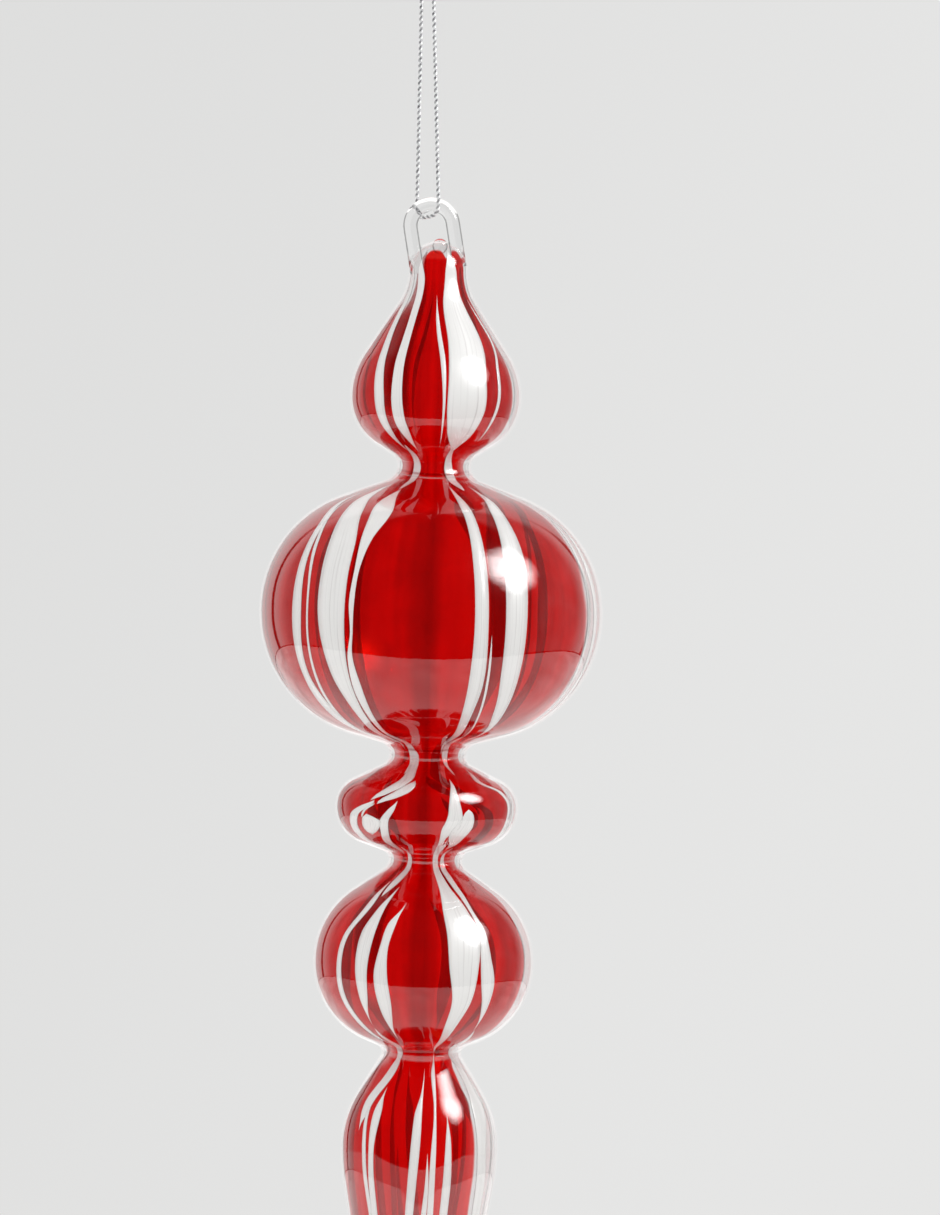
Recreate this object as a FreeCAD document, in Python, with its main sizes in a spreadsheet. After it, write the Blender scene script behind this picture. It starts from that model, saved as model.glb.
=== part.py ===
import FreeCAD, Part
import math
import os
import Sketcher

# A hanging finial ornament of blown glass, on a loop of twisted metallic cord. Millimetres.
# +Z runs up along the glass axis. The origin is the hanging point, just under the knot of the cord.
# The front, where the eye shows its hole, faces -Y.

V = FreeCAD.Vector

# Driving dimensions: name, value, meaning.
SIZES = [
    ("wall", 1.2, "thickness of the blown wall"),
    ("tip_radius", 2.2, "rounded lower tip"),
    ("spire_lower_height", 85.0, "tip to the widest place of the spire"),
    ("spire_lower_arc", 46.0, "side curve of the spire below its widest place"),
    ("spire_radius", 16.0, "spire at its widest"),
    ("spire_upper_arc", 21.0, "side curve of the spire above its widest place"),
    ("spire_upper_height", 19.2, "widest place of the spire to the neck above it"),
    ("spire_neck_lower_fillet", 1.2, "flare of that neck into the spire"),
    ("spire_neck_radius", 8.1, "neck between ball and spire"),
    ("spire_neck_upper_fillet", 1.5, "flare of that neck into the ball"),
    ("ball_lower_height", 18.6, "that neck to the widest place of the ball"),
    ("ball_lower_arc", 17.5, "side curve of the ball below its widest place"),
    ("ball_radius", 22.5, "ball at its widest"),
    ("ball_upper_arc", 18.0, "side curve of the ball above its widest place"),
    ("ball_upper_height", 20.9, "widest place of the ball to the neck above it"),
    ("ball_neck_lower_fillet", 2.3, "flare of that neck into the ball"),
    ("ball_neck_radius", 7.5, "neck between disc and ball"),
    ("ball_neck_upper_fillet", 1.8, "flare of that neck into the disc"),
    ("disc_lower_height", 10.8, "that neck to the rim of the disc"),
    ("disc_lower_arc", 8.0, "side curve of the disc below its rim"),
    ("disc_radius", 18.7, "disc at its rim"),
    ("disc_upper_arc", 6.4, "side curve of the disc above its rim"),
    ("disc_upper_height", 10.6, "rim of the disc to the neck above it"),
    ("disc_neck_lower_fillet", 2.1, "flare of that neck into the disc"),
    ("disc_neck_radius", 7.8, "neck between globe and disc"),
    ("disc_neck_upper_fillet", 2.5, "flare of that neck into the globe"),
    ("globe_lower_height", 29.3, "that neck to the widest place of the globe"),
    ("globe_lower_arc", 26.2, "side curve of the globe below its widest place"),
    ("globe_radius", 35.1, "globe at its widest, the widest of the ornament"),
    ("globe_upper_arc", 25.3, "side curve of the globe above its widest place"),
    ("globe_upper_height", 29.9, "widest place of the globe to the neck above it"),
    ("globe_neck_lower_fillet", 3.1, "flare of that neck into the globe"),
    ("globe_neck_radius", 7.5, "neck between onion and globe"),
    ("globe_neck_upper_fillet", 2.6, "flare of that neck into the onion"),
    ("onion_lower_height", 14.1, "that neck to the widest place of the onion"),
    ("onion_lower_arc", 11.7, "side curve of the onion below its widest place"),
    ("onion_radius", 17.5, "onion at its widest"),
    ("onion_upper_arc", 16.3, "side curve of the onion above its widest place"),
    ("onion_upper_height", 26.0, "widest place of the onion to the crown"),
    ("crown_lower_fillet", 12.0, "flare of the crown into the onion"),
    ("crown_radius", 6.0, "round crown that closes the glass at the top"),
    ("eye_rod", 3.0, "diameter of the glass rod of the eye"),
    ("eye_seat", 0.15, "how far the legs of the eye stand inside the crown"),
    ("eye_leg", 9.2, "length of a leg from the base of the crown to the bend"),
    ("eye_lean", 10.0, "lean of the eye to the left, in degrees"),
    ("hang_drop", 77.2, "hanging point to the top of the eye"),
    ("hang_offset", 4.3, "glass axis to the right of the hanging point"),
    ("cord_diameter", 0.8, "twisted cord"),
    ("knot_radius", 1.7, "knot of the doubled cord"),
    ("knot_seat", 0.7, "flat underside of the knot above the hanging point"),
    ("knot_cut", 45.0, "latitude of the flat underside of the knot, in degrees"),
    ("knot_gap", 0.03, "ends of the cord below the flat underside of the knot"),
    ("tail_length", 6.5, "each cord tail above the knot, from its middle"),
    ("tail_spread", 24.0, "lean of each tail, in degrees"),
]

# The swellings from the tip upwards, each with the neck above it. The crown is the last neck.
SWELLINGS = ["spire", "ball", "disc", "globe", "onion"]
NECKS = ["spire_neck", "ball_neck", "disc_neck", "globe_neck", "crown"]
STOREYS = [f"{name}_{half}_height" for name in SWELLINGS for half in ("lower", "upper")]

# Expressions that several pieces share.
CROWN_HEIGHT = " + ".join(f"Sizes.{name}" for name in STOREYS)
EYE_HALF_WIDTH = "Sizes.crown_radius - Sizes.eye_seat - Sizes.eye_rod / 2"
EYE_RISE = "Sizes.eye_leg * cos(Sizes.eye_lean * 1 deg) + Sizes.crown_radius - Sizes.eye_seat"

# Route of the cord. Its two ends stand in the flat underside of the knot, as x and y there. Between them
# it runs straight down behind the eye, turns under the rod from back left to front right, and runs up.
CORD_ENDS = [(-0.37, 0.34), (0.37, -0.34)]
CORD_TURN = [
    (-0.42, 2.14, -80.50),
    (0.47, 1.33, -81.52),
    (1.87, 0.03, -81.22),
    (2.84, -0.88, -81.12),
    (4.08, -2.03, -79.95),
]
RUN_SHARE = 0.45  # of the shorter run, taken by the tangent length of an arc


def make_sheet(doc):
    """Spreadsheet with one aliased cell per driving dimension."""
    sheet = doc.addObject("Spreadsheet::Sheet", "Sizes")
    for row, (name, value, meaning) in enumerate(SIZES, start=1):
        sheet.set(f"A{row}", meaning)
        sheet.set(f"B{row}", str(value))
        sheet.setAlias(f"B{row}", name)
    doc.recompute()
    return sheet


def cross_tangent(convex, convex_radius, concave, concave_radius):
    """Ends of the straight line that touches both circles and passes between them."""
    reach = concave - convex
    middle = math.atan2(reach.y, reach.x)
    opening = math.acos((convex_radius + concave_radius) / reach.Length)
    normals = [V(math.cos(middle + turn), math.sin(middle + turn), 0) for turn in (opening, -opening)]
    normal = max(normals, key=lambda n: n.x)
    return convex + normal * convex_radius, concave - normal * concave_radius


def outer_tangent(upper, upper_radius, lower, lower_radius):
    """Ends of the straight line that touches two circles on their outer side."""
    reach = lower - upper
    middle = math.atan2(reach.y, reach.x)
    opening = math.acos((upper_radius - lower_radius) / reach.Length)
    normals = [V(math.cos(middle + turn), math.sin(middle + turn), 0) for turn in (opening, -opening)]
    normal = max(normals, key=lambda n: n.x)
    return upper + normal * upper_radius, lower + normal * lower_radius


class Outline:
    """Half outline of the glass in a sketch on the XZ plane, as a chain from the crown down to the tip.

    Sketch heights count from the lowest point of the tip. Each end of a piece is (geometry, point number).
    """

    CENTRE = 3

    def __init__(self, sketch, sheet, inset):
        """inset names the size by which the outline lies inside the outer skin, or is None."""
        self.sketch = sketch
        self.sheet = sheet
        self.inset = inset
        self.depth = getattr(sheet, inset) if inset else 0.0

    def size(self, name, sign):
        """Value of a size, and its expression, made smaller (sign -1) or larger (sign 1) by the inset."""
        words = f"Sizes.{name}"
        if self.inset:
            words += f" {'+' if sign > 0 else '-'} Sizes.{self.inset}"
        return getattr(self.sheet, name) + sign * self.depth, words

    def bind(self, constraint, words):
        """Adds a dimension and binds it to the sheet."""
        index = self.sketch.addConstraint(constraint)
        self.sketch.setExpression(f"Constraints[{index}]", words)

    def arc(self, centre, radius, upper, lower, convex):
        """Arc from its upper to its lower end, bulging outwards or, for a neck, inwards."""
        start, end = (lower, upper) if convex else (upper, lower)
        first = math.atan2(start.y - centre.y, start.x - centre.x)
        last = math.atan2(end.y - centre.y, end.x - centre.x)
        if last < first:
            last += 2 * math.pi
        circle = Part.Circle(centre, V(0, 0, 1), radius)
        piece = self.sketch.addGeometry(Part.ArcOfCircle(circle, first, last))
        return ((piece, 2), (piece, 1)) if convex else ((piece, 1), (piece, 2))

    def line(self, upper, lower):
        """Straight run from its upper to its lower end."""
        piece = self.sketch.addGeometry(Part.LineSegment(upper, lower))
        return (piece, 1), (piece, 2)

    def touch(self, first, second):
        """Joins two ends smoothly."""
        self.sketch.addConstraint(Sketcher.Constraint("Tangent", *first, *second))

    def meet(self, first, second):
        """Joins two ends."""
        self.sketch.addConstraint(Sketcher.Constraint("Coincident", *first, *second))

    def level(self, piece, end):
        """Puts the centre of an arc level with one of its ends."""
        self.sketch.addConstraint(Sketcher.Constraint("Horizontal", piece, self.CENTRE, *end))

    def on_axis(self, piece, point):
        """Puts a point on the glass axis."""
        self.sketch.addConstraint(Sketcher.Constraint("PointOnObject", piece, point, -2))

    def side(self, swelling, neck, half, widest, narrowest):
        """Arc of the swelling, straight flank and flare of the neck, between two level places."""
        facing = "lower" if half == "upper" else "upper"
        arc_radius, arc_words = self.size(f"{swelling}_{half}_arc", -1)
        fillet_radius, fillet_words = self.size(f"{neck}_{facing}_fillet", 1)
        swell_centre = widest - V(arc_radius, 0, 0)
        neck_centre = narrowest + V(fillet_radius, 0, 0)
        on_swell, on_neck = cross_tangent(swell_centre, arc_radius, neck_centre, fillet_radius)
        if half == "upper":
            flare = self.arc(neck_centre, fillet_radius, narrowest, on_neck, False)
            flank = self.line(on_neck, on_swell)
            swell = self.arc(swell_centre, arc_radius, on_swell, widest, True)
            self.touch(flare[1], flank[0])
            self.touch(flank[1], swell[0])
            at_neck, at_widest = flare[0], swell[1]
        else:
            swell = self.arc(swell_centre, arc_radius, widest, on_swell, True)
            flank = self.line(on_swell, on_neck)
            flare = self.arc(neck_centre, fillet_radius, on_neck, narrowest, False)
            self.touch(swell[1], flank[0])
            self.touch(flank[1], flare[0])
            at_neck, at_widest = flare[1], swell[0]
        self.bind(Sketcher.Constraint("Radius", swell[0][0], arc_radius), arc_words)
        self.bind(Sketcher.Constraint("Radius", flare[0][0], fillet_radius), fillet_words)
        self.level(swell[0][0], at_widest)
        self.level(flare[0][0], at_neck)
        return at_neck, at_widest

    def place(self, end, name, where):
        """Sets how far a level place stands from the axis."""
        words = self.size(name, -1)[1]
        self.bind(Sketcher.Constraint("DistanceX", -1, 1, *end, where.x), words)

    def rise(self, lower, upper, name):
        """Sets how far one level place stands above another."""
        height = getattr(self.sheet, name)
        self.bind(Sketcher.Constraint("DistanceY", *lower, *upper, height), f"Sizes.{name}")

    def draw(self):
        """Draws the whole chain and closes it along the axis."""
        tip_radius, tip_words = self.size("tip_radius", -1)
        height = 0.0
        below = (-1, 1)
        neck_end = None
        for order, (swelling, neck) in enumerate(zip(SWELLINGS, NECKS)):
            height += getattr(self.sheet, f"{swelling}_lower_height")
            widest = V(self.size(f"{swelling}_radius", -1)[0], height, 0)
            if order == 0:
                at_widest, tip_end = self.draw_tip(widest, tip_radius, tip_words)
            else:
                last_neck = NECKS[order - 1]
                narrowest = V(self.size(f"{last_neck}_radius", -1)[0], neck_height, 0)
                joint, at_widest = self.side(swelling, last_neck, "lower", widest, narrowest)
                self.meet(joint, neck_end)
            self.place(at_widest, f"{swelling}_radius", widest)
            self.rise(below, at_widest, f"{swelling}_lower_height")
            neck_height = height + getattr(self.sheet, f"{swelling}_upper_height")
            narrowest = V(self.size(f"{neck}_radius", -1)[0], neck_height, 0)
            neck_end, top_widest = self.side(swelling, neck, "upper", widest, narrowest)
            self.meet(top_widest, at_widest)
            self.place(neck_end, f"{neck}_radius", narrowest)
            self.rise(at_widest, neck_end, f"{swelling}_upper_height")
            below = neck_end
            height = neck_height
        crown_radius = self.size("crown_radius", -1)[0]
        centre = V(0, height, 0)
        top = V(0, height + crown_radius, 0)
        dome = self.arc(centre, crown_radius, top, narrowest, True)
        self.meet(dome[1], neck_end)
        self.level(dome[0][0], dome[1])
        self.on_axis(dome[0][0], self.CENTRE)
        self.on_axis(*dome[0])
        spine = self.line(top, V(0, self.sheet.tip_radius - tip_radius, 0))
        self.meet(spine[0], dome[0])
        self.meet(spine[1], tip_end)

    def draw_tip(self, widest, tip_radius, tip_words):
        """Lower side of the spire: its arc, the straight taper and the round tip."""
        arc_radius, arc_words = self.size("spire_lower_arc", -1)
        swell_centre = widest - V(arc_radius, 0, 0)
        tip_centre = V(0, self.sheet.tip_radius, 0)
        on_swell, on_tip = outer_tangent(swell_centre, arc_radius, tip_centre, tip_radius)
        swell = self.arc(swell_centre, arc_radius, widest, on_swell, True)
        taper = self.line(on_swell, on_tip)
        tip = self.arc(tip_centre, tip_radius, on_tip, tip_centre - V(0, tip_radius, 0), True)
        self.touch(swell[1], taper[0])
        self.touch(taper[1], tip[0])
        self.bind(Sketcher.Constraint("Radius", swell[0][0], arc_radius), arc_words)
        self.bind(Sketcher.Constraint("Radius", tip[0][0], tip_radius), tip_words)
        self.level(swell[0][0], swell[0])
        self.on_axis(tip[0][0], self.CENTRE)
        self.on_axis(*tip[1])
        centre_height = Sketcher.Constraint("DistanceY", -1, 1, tip[0][0], self.CENTRE, tip_centre.y)
        self.bind(centre_height, "Sizes.tip_radius")
        return swell[0], tip[1]


def sketch_on(body, role, name):
    """New sketch on one of the body's own origin planes."""
    sketch = body.newObject("Sketcher::SketchObject", name)
    plane = next(feature for feature in body.Origin.OriginFeatures if feature.Role == role)
    sketch.AttachmentSupport = [(plane, "")]
    sketch.MapMode = "FlatFace"
    return sketch


def turned(body, kind, sketch, name):
    """Full turn of a sketch about its upright axis, added to the body or cut from it."""
    feature = body.newObject(kind, name)
    feature.Profile = sketch
    feature.ReferenceAxis = (sketch, ["V_Axis"])
    feature.Angle = 360
    sketch.Visibility = False
    return feature


def make_skin(body, sheet):
    """Outer skin, turned from its outline."""
    outline = sketch_on(body, "XZ_Plane", "SkinOutline")
    Outline(outline, sheet, None).draw()
    return turned(body, "PartDesign::Revolution", outline, "Skin")


def make_hollow(body, sheet):
    """Sealed hollow of the blown glass, cut by the same outline one wall further in."""
    outline = sketch_on(body, "XZ_Plane", "HollowOutline")
    Outline(outline, sheet, "wall").draw()
    return turned(body, "PartDesign::Groove", outline, "Hollow")


def draw_eye_path(body, sheet):
    """Centre line of the eye: two legs that stand in the crown and the half turn that joins them."""
    crown_height = sum(getattr(sheet, name) for name in STOREYS)
    half_width = sheet.crown_radius - sheet.eye_seat - sheet.eye_rod / 2
    lean = math.radians(sheet.eye_lean)
    across = V(math.cos(lean), math.sin(lean), 0)
    root = V(0, crown_height, 0)
    bend = root + V(-math.sin(lean), math.cos(lean), 0) * sheet.eye_leg

    path = sketch_on(body, "XZ_Plane", "EyePath")
    left = path.addGeometry(Part.LineSegment(root - across * half_width, bend - across * half_width))
    over = path.addGeometry(Part.ArcOfCircle(Part.Circle(bend, V(0, 0, 1), half_width), lean, lean + math.pi))
    right = path.addGeometry(Part.LineSegment(bend + across * half_width, root + across * half_width))
    base = path.addGeometry(Part.LineSegment(root + across * half_width, root - across * half_width), True)
    middle = path.addGeometry(Part.Point(root), True)
    path.addConstraint(Sketcher.Constraint("Tangent", left, 2, over, 2))
    path.addConstraint(Sketcher.Constraint("Tangent", over, 1, right, 1))
    path.addConstraint(Sketcher.Constraint("Coincident", right, 2, base, 1))
    path.addConstraint(Sketcher.Constraint("Coincident", base, 2, left, 1))
    path.addConstraint(Sketcher.Constraint("Perpendicular", left, base))
    path.addConstraint(Sketcher.Constraint("Symmetric", left, 1, right, 2, middle, 1))
    path.addConstraint(Sketcher.Constraint("PointOnObject", middle, 1, -2))
    bound = [
        (Sketcher.Constraint("Radius", over, half_width), EYE_HALF_WIDTH),
        (Sketcher.Constraint("Distance", left, sheet.eye_leg), "Sizes.eye_leg"),
        (Sketcher.Constraint("DistanceY", -1, 1, middle, 1, crown_height), CROWN_HEIGHT),
        (Sketcher.Constraint("Angle", left, math.pi / 2 + lean), "90 deg + Sizes.eye_lean * 1 deg"),
    ]
    for constraint, words in bound:
        index = path.addConstraint(constraint)
        path.setExpression(f"Constraints[{index}]", words)
    return path


def make_eye(body, sheet):
    """Eye of solid rod, swept along its path and fused to the crown."""
    path = draw_eye_path(body, sheet)
    section = body.newObject("Sketcher::SketchObject", "EyeSection")
    section.AttachmentSupport = [(path, "Edge1")]
    section.MapMode = "NormalToEdge"
    section.MapPathParameter = 0
    rim = section.addGeometry(Part.Circle(V(0, 0, 0), V(0, 0, 1), sheet.eye_rod / 2))
    section.addConstraint(Sketcher.Constraint("Coincident", rim, Outline.CENTRE, -1, 1))
    width = section.addConstraint(Sketcher.Constraint("Diameter", rim, sheet.eye_rod))
    section.setExpression(f"Constraints[{width}]", "Sizes.eye_rod")
    eye = body.newObject("PartDesign::AdditivePipe", "Eye")
    eye.Profile = section
    eye.Spine = (path, ["Edge1", "Edge2", "Edge3"])
    path.Visibility = False
    section.Visibility = False
    return eye


def make_glass(doc, sheet):
    """Blown glass in one piece: the turned skin, the eye on its crown and the hollow inside."""
    body = doc.addObject("PartDesign::Body", "GlassBody")
    body.Label = "glass_body"
    skin = make_skin(body, sheet)
    doc.recompute()
    eye = make_eye(body, sheet)
    doc.recompute()
    hollow = make_hollow(body, sheet)
    doc.recompute()
    assert skin.Shape.Volume < eye.Shape.Volume, "the eye adds nothing"
    assert hollow.Shape.Volume < skin.Shape.Volume / 2, "the hollow is not cut"
    stages = [round(feature.Shape.Volume) for feature in (skin, eye, hollow)]
    print("glass volume as skin, with eye, with hollow:", stages, "mm3")
    body.setExpression("Placement.Base.x", "Sizes.hang_offset")
    body.setExpression("Placement.Base.z", f"-(Sizes.hang_drop + {CROWN_HEIGHT} + {EYE_RISE})")
    return body


def make_knot(doc, sheet):
    """Overhand knot of the doubled cord, flat below where both strands enter, with its two short tails."""
    body = doc.addObject("PartDesign::Body", "CordKnot")
    body.Label = "cord_knot"
    ball = body.newObject("PartDesign::AdditiveSphere", "Knot")
    ball.setExpression("Radius", "Sizes.knot_radius")
    ball.setExpression("Angle1", "-Sizes.knot_cut * 1 deg")
    for side, sign in (("Left", -1), ("Right", 1)):
        tail = body.newObject("PartDesign::AdditiveCylinder", f"{side}Tail")
        tail.setExpression("Radius", "Sizes.cord_diameter / 2")
        tail.setExpression("Height", "Sizes.tail_length")
        tail.Placement = FreeCAD.Placement(V(0, 0, 0), FreeCAD.Rotation(V(0, sign, 0), sheet.tail_spread))
        tail.setExpression("Placement.Rotation.Angle", "Sizes.tail_spread * 1 deg")
    ends = V(*CORD_ENDS[1], 0) - V(*CORD_ENDS[0], 0)
    body.Placement.Rotation = FreeCAD.Rotation(V(1, 0, 0), ends)
    middle = "Sizes.knot_seat + Sizes.knot_radius * sin(Sizes.knot_cut * 1 deg)"
    body.setExpression("Placement.Base.z", middle)
    return body


def cord_path(points):
    """Straight runs through the points, joined by tangent arcs as large as their runs allow."""
    edges = []
    radii = []
    start = points[0]
    for before, corner, after in zip(points, points[1:], points[2:]):
        back = before - corner
        ahead = after - corner
        reach = RUN_SHARE * min(back.Length, ahead.Length)
        half_turn = (math.pi - back.getAngle(ahead)) / 2
        radii.append(reach / math.tan(half_turn))
        back.normalize()
        ahead.normalize()
        bisector = back + ahead
        bisector.normalize()
        arc_start = corner + back * reach
        arc_end = corner + ahead * reach
        arc_middle = corner + bisector * (radii[-1] / math.cos(half_turn) - radii[-1])
        edges.append(Part.LineSegment(start, arc_start).toShape())
        edges.append(Part.Arc(arc_start, arc_middle, arc_end).toShape())
        start = arc_end
    edges.append(Part.LineSegment(start, points[-1]).toShape())
    return Part.Wire(edges), radii


def make_cord(doc, sheet):
    """Hanging loop: a plain tube from the knot, round the rod of the eye, and back to the knot."""
    first, last = (V(x, y, sheet.knot_seat - sheet.knot_gap) for x, y in CORD_ENDS)
    points = [first, *(V(*point) for point in CORD_TURN), last]
    path, radii = cord_path(points)
    radius = sheet.cord_diameter / 2
    section = Part.Wire(Part.Circle(first, points[1] - first, radius).toShape())
    tube = path.makePipeShell([section], True, False)
    expected = math.pi * radius**2 * path.Length
    print("cord radii", [round(value, 2) for value in radii], "length", round(path.Length, 1))
    print(f"cord volume {tube.Volume:.3f}, section times length {expected:.3f} mm3")
    cord = doc.addObject("Part::Feature", "HangingCord")
    cord.Label = "hanging_cord"
    cord.Shape = tube
    cord.Placement = FreeCAD.Placement()
    return cord


def main():
    """Builds the document, checks every object and writes one STEP file for each sub-part."""
    doc = FreeCAD.newDocument("ornament")
    sheet = make_sheet(doc)
    parts = [make_glass(doc, sheet), make_cord(doc, sheet), make_knot(doc, sheet)]
    doc.recompute()
    for item in doc.Objects:
        if "Invalid" in item.State or "Error" in item.State:
            raise RuntimeError(f"{item.Label} failed: {item.State}")
    os.makedirs("parts", exist_ok=True)
    for part in parts:
        if part.Shape.isNull() or not part.Shape.isValid():
            raise RuntimeError(f"{part.Label} has no valid shape")
        part.Shape.exportStep(f"parts/{part.Label}.step")
        print(f"{part.Label}: {part.Shape.Volume:.1f} mm3, {len(part.Shape.Solids)} solid")


main()
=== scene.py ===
"""Striped blown-glass finial ornament, hanging on a loop of twisted silver cord."""

import functools
import logging
import math
from collections.abc import Iterable
from dataclasses import dataclass
from enum import Enum

import bmesh
import bpy
from bmesh.types import BMEdge, BMFace, BMVert, BMesh
from bpy.types import Curve, Material, Mesh, Node, NodeSocket, NodeTree, Object
from mathutils import Matrix, Vector


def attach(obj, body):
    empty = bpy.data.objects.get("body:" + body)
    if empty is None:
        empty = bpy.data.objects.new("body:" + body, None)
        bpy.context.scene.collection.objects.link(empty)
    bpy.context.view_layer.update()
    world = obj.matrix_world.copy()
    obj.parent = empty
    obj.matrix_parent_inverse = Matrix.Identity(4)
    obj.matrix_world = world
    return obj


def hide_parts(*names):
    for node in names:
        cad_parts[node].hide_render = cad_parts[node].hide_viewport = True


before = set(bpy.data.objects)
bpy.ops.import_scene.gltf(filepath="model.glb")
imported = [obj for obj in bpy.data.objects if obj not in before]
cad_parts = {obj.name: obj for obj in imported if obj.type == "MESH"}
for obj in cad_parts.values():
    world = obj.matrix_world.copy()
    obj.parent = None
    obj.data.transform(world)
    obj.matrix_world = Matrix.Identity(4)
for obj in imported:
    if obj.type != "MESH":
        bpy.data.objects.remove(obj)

logging.basicConfig(level=logging.INFO, format="%(message)s")
LOG = logging.getLogger("ornament")
MM = 0.001
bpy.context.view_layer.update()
GLASS_AXIS = 4.3  # mm to the right of the hanging point
GLASS_MIDDLE = Vector((GLASS_AXIS, 0.0, -180.0)) * MM

Point = tuple[float, float]
Place = tuple[float, float, float]
Route = tuple[Place, ...]
Colour = tuple[float, float, float]


class Slot(Enum):
    """Material slots of the record."""

    GLASS = "striped_glass"
    CORD = "silver_cord"


class Shading:
    """A shader socket with arithmetic: each operator adds a Math node to the same material."""

    def __init__(self, tree: NodeTree, socket: NodeSocket) -> None:
        """Wraps a socket.

        Args:
            tree: node tree that the socket belongs to.
            socket: output socket that carries a number.
        """
        self.tree = tree
        self.socket = socket

    def _join(self, operation: str, *terms: "Shading | float") -> "Shading":
        """Adds one Math node.

        Args:
            operation: name of the Math operation.
            terms: sockets or numbers, in the order of the node's inputs.

        Returns:
            The node's result.
        """
        node = self.tree.nodes.new("ShaderNodeMath")
        node.operation = operation
        for place, term in zip(node.inputs, terms):
            if isinstance(term, Shading):
                self.tree.links.new(term.socket, place)
            else:
                place.default_value = term
        return Shading(self.tree, node.outputs[0])

    def __add__(self, other: "Shading | float") -> "Shading":
        """Sum."""
        return self._join("ADD", self, other)

    __radd__ = __add__

    def __sub__(self, other: "Shading | float") -> "Shading":
        """Difference."""
        return self._join("SUBTRACT", self, other)

    def __rsub__(self, other: float) -> "Shading":
        """Difference from a number on the left."""
        return self._join("SUBTRACT", other, self)

    def __mul__(self, other: "Shading | float") -> "Shading":
        """Product."""
        return self._join("MULTIPLY", self, other)

    __rmul__ = __mul__

    def __truediv__(self, other: "Shading | float") -> "Shading":
        """Quotient."""
        return self._join("DIVIDE", self, other)

    def __neg__(self) -> "Shading":
        """Opposite."""
        return self._join("MULTIPLY", self, -1.0)

    def __pow__(self, other: float) -> "Shading":
        """Power."""
        return self._join("POWER", self, other)

    def most(self, other: "Shading | float") -> "Shading":
        """The larger of the two."""
        return self._join("MAXIMUM", self, other)

    def least(self, other: "Shading | float") -> "Shading":
        """The smaller of the two."""
        return self._join("MINIMUM", self, other)

    def away_from(self, other: "Shading | float") -> "Shading":
        """Distance between the two."""
        return self._join("ABSOLUTE", self - other)

    def degrees_from(self, other: "Shading") -> "Shading":
        """Angle whose tangent is this over the other, in degrees."""
        return self._join("ARCTAN2", self, other) * (180 / math.pi)

    def step(self, low: float, high: float) -> "Shading":
        """Smooth step.

        Args:
            low: value at which the step leaves 0.
            high: value at which it reaches 1.

        Returns:
            The height of the step, from 0 to 1.
        """
        node = self.tree.nodes.new("ShaderNodeMapRange")
        node.interpolation_type = "SMOOTHSTEP"
        self.tree.links.new(self.socket, node.inputs["Value"])
        node.inputs["From Min"].default_value = low
        node.inputs["From Max"].default_value = high
        return Shading(self.tree, node.outputs["Result"])

    def between(self, rise: Point, fall: Point) -> "Shading":
        """Band that rises over the first range and falls over the second."""
        return self.step(*rise) * (1 - self.step(*fall))

    def near(self, centre: float, inner: float, outer: float) -> "Shading":
        """Band that is 1 up to the inner distance from a centre, and 0 from the outer one on."""
        return 1 - self.away_from(centre).step(inner, outer)


def largest(shares: Iterable[Shading]) -> Shading:
    """The largest of several shares."""
    return functools.reduce(Shading.most, shares)


class Recipe:
    """Node tree of a material or of the world, with one method that adds any node."""

    def __init__(self, tree: NodeTree) -> None:
        """Empties the tree.

        Args:
            tree: node tree to fill.
        """
        self.tree = tree
        tree.nodes.clear()

    def node(self, kind: str, settings: dict | None = None, **sockets: object) -> Node:
        """Adds a node.

        Args:
            kind: type name without the ShaderNode prefix.
            settings: properties of the node, set first.
            sockets: values or links by socket name, with _ for a space, or by s and a number.

        Returns:
            The new node.
        """
        made = self.tree.nodes.new(f"ShaderNode{kind}")
        for name, value in (settings or {}).items():
            setattr(made, name, value)
        for name, value in sockets.items():
            place = made.inputs[int(name[1:])] if name[1:].isdigit() else made.inputs[name.replace("_", " ")]
            self.feed(place, value)
        return made

    def feed(self, place: NodeSocket, value: object) -> None:
        """Sets or links one input.

        Args:
            place: input socket.
            value: number, colour, vector, socket, node or Shading.
        """
        if isinstance(value, Shading):
            value = value.socket
        if isinstance(value, Node):
            value = value.outputs[0]
        if isinstance(value, NodeSocket):
            self.tree.links.new(value, place)
        elif place.type == "RGBA" and len(value) == 3:
            place.default_value = (*value, 1.0)
        else:
            place.default_value = value

    def number(self, node: Node, output: str | int = 0) -> Shading:
        """Wraps one output of a node for arithmetic."""
        return Shading(self.tree, node.outputs[output])

    def axes(self, vector: NodeSocket) -> list[Shading]:
        """The three parts of a vector."""
        parts = self.node("SeparateXYZ", Vector=vector)
        return [self.number(parts, axis) for axis in "XYZ"]

    def noise(self, vector: object, scale: float, detail: float) -> Shading:
        """Soft noise, about 0.5 on average."""
        return self.number(self.node("TexNoise", Vector=vector, Scale=scale, Detail=detail))

    def place(self) -> NodeSocket:
        """Place on the piece, in metres."""
        return self.node("TexCoord").outputs["Object"]

    def facing(self) -> Shading:
        """How far the surface turns away from the eye: 0 straight on, 1 at its rim."""
        return self.number(self.node("LayerWeight", Blend=0.5), "Facing")

    def see_through(self, colour: Colour) -> Node:
        """Glass that tints what is seen through it."""
        return self.node("BsdfTransparent", Color=colour)

    def blend(self, share: object, first: Node, second: Node) -> Node:
        """Mixes two shaders: the share is that of the second."""
        return self.node("MixShader", s0=share, s1=first, s2=second)

    def tint(self, share: Shading, first: object, second: object) -> NodeSocket:
        """Mixes two colours.

        Args:
            share: how much of the second colour shows.
            first: colour where the share is 0.
            second: colour where the share is 1.

        Returns:
            The mixed colour.
        """
        mix = self.node("Mix", {"data_type": "RGBA"}, Factor=share)
        self.feed(mix.inputs[6], first)
        self.feed(mix.inputs[7], second)
        return mix.outputs[2]

    def finish(self, shader: Node, output: str = "OutputMaterial") -> None:
        """Links the last shader to the output."""
        self.node(output, Surface=shader)


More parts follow.
